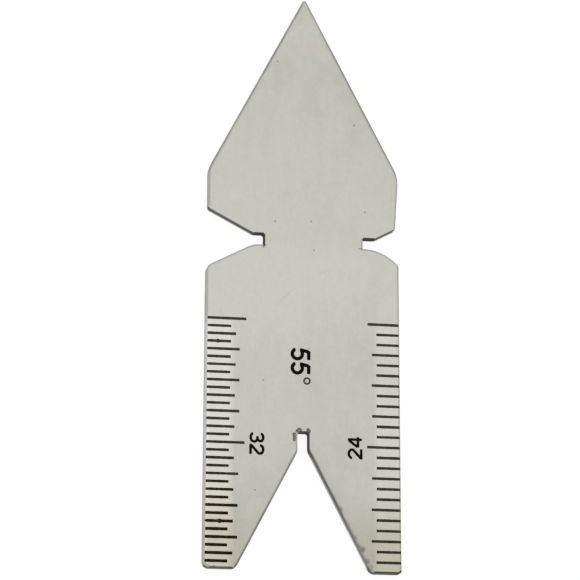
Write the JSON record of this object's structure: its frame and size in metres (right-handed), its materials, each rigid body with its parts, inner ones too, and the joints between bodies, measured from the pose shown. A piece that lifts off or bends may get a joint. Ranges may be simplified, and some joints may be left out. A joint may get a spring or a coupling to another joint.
{
  "type": "center gauge",
  "caption": "Flat steel screw-cutting gauge with a sharp point, a fishtail notch, a notch in each edge and inch scales along both edges.",
  "frame": {"origin": "under the middle of the plate's bounding box, on the surface that it rests on", "axes": "+X across the blade towards the edge with the 24 scale, +Y along the blade towards the point, +Z out of the marked face"},
  "size_m": [0.02, 0.0599, 0.0012],
  "materials": {
    "ground_steel": "satin, ground along its length",
    "black_fill": "matt black fill in the engraved lines and numbers"
  },
  "bodies": {
    "root": {"gauge_plate": "ground_steel"}
  },
  "joints": []
}
